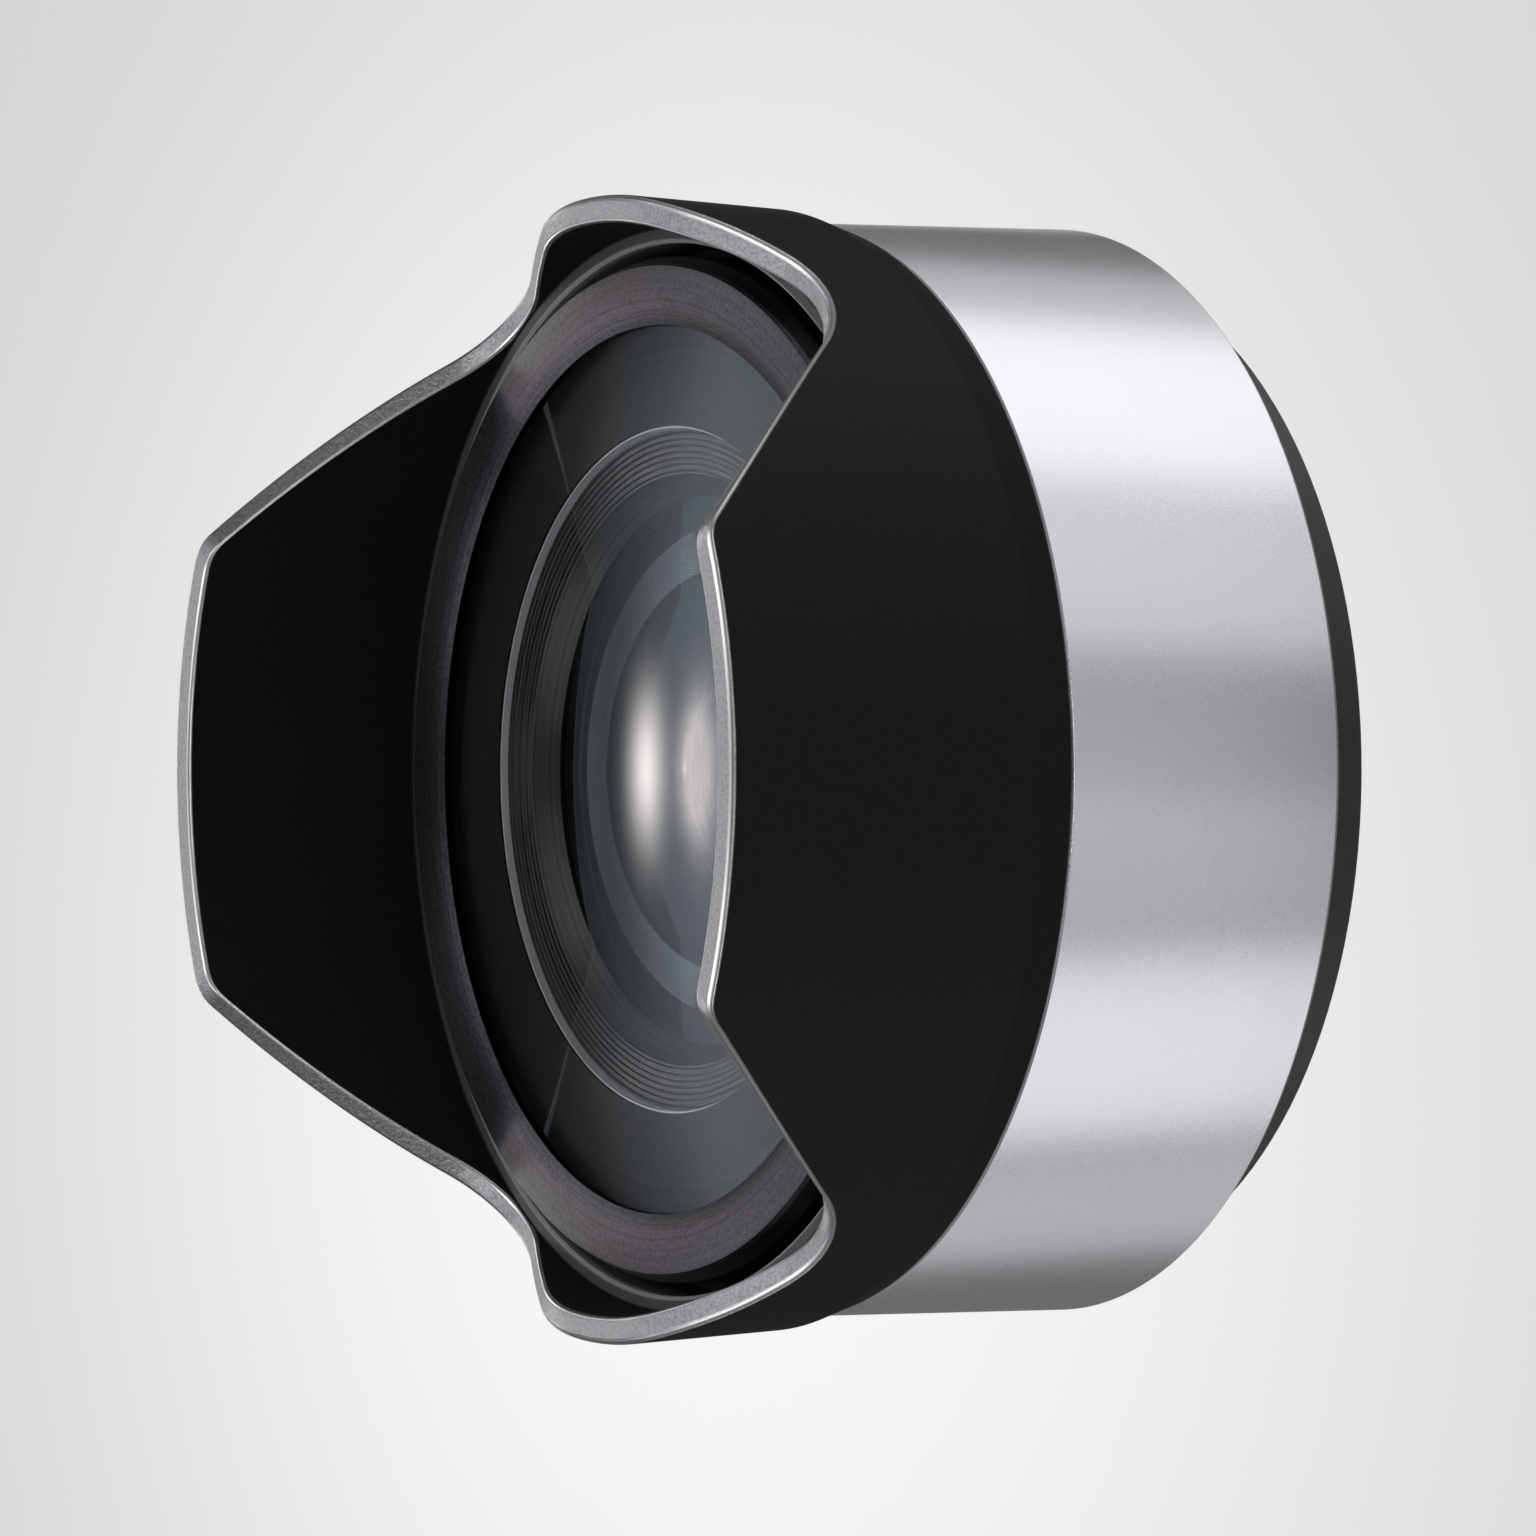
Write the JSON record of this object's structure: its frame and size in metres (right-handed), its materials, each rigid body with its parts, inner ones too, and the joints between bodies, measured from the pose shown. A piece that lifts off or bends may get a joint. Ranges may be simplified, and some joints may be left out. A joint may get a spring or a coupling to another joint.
{
  "type": "fisheye lens",
  "caption": "Short add-on fisheye lens: satin silver barrel, black petal hood with long and short lobes, turned ring round a domed front glass, and a rear bayonet with a release key.",
  "frame": {"origin": "middle of the rear ring's end face, which the lens stands on", "axes": "+Z along the optical axis towards the subject; long petals at +Y and -Y, short petals at +X and -X; release key at +Y"},
  "size_m": [0.0647, 0.066, 0.0432],
  "materials": {
    "hood_black": "fine matte black coating, bead-blasted rim",
    "turned_grey": "lathe-turned, dark grey anodised",
    "satin_silver": "satin silver anodised",
    "black_anodised": "matte black anodised",
    "rear_black": "fine moulded matte",
    "coated_glass": "polished, anti-reflection coated",
    "mount_steel": "turned, satin",
    "spring_steel": "polished",
    "screw_black": "blackened steel",
    "seal_rubber": "matte",
    "seal_felt": "black felt",
    "bracket_steel": "plain",
    "mark_white": "filled paint",
    "key_black": "fine moulded matte"
  },
  "bodies": {
    "lens_body": {"hood": "hood_black", "front_ring": "turned_grey", "front_element": "coated_glass", "front_gasket": "seal_rubber", "light_seal": "seal_felt", "barrel_sleeve": "satin_silver", "lens_housing": "black_anodised", "second_element": "coated_glass", "second_retainer": "black_anodised", "flare_stop": "black_anodised", "light_baffle": "black_anodised", "third_element": "coated_glass", "spacer_ring": "black_anodised", "rear_element": "coated_glass", "rear_retainer": "black_anodised", "rear_ring": "rear_black", "bayonet_ring": "mount_steel", "bayonet_screws": "screw_black", "hood_screws": "screw_black", "lock_bracket": "bracket_steel", "bracket_screws": "screw_black", "index_mark": "mark_white", "bayonet_spring_1": "spring_steel", "bayonet_spring_2": "spring_steel", "bayonet_spring_3": "spring_steel", "lock_spring": "spring_steel"},
    "release": {"release_slider": "key_black", "lock_pin": "mount_steel"}
  },
  "joints": [
    {"name": "lock_release", "type": "slide", "parent": "lens_body", "child": "release", "axis": [0, 0, 1], "range_m": [0, 0.0016], "stiffness_N_per_m": 400, "springref_m": -0.0015, "deforming": ["lock_spring"]}
  ]
}
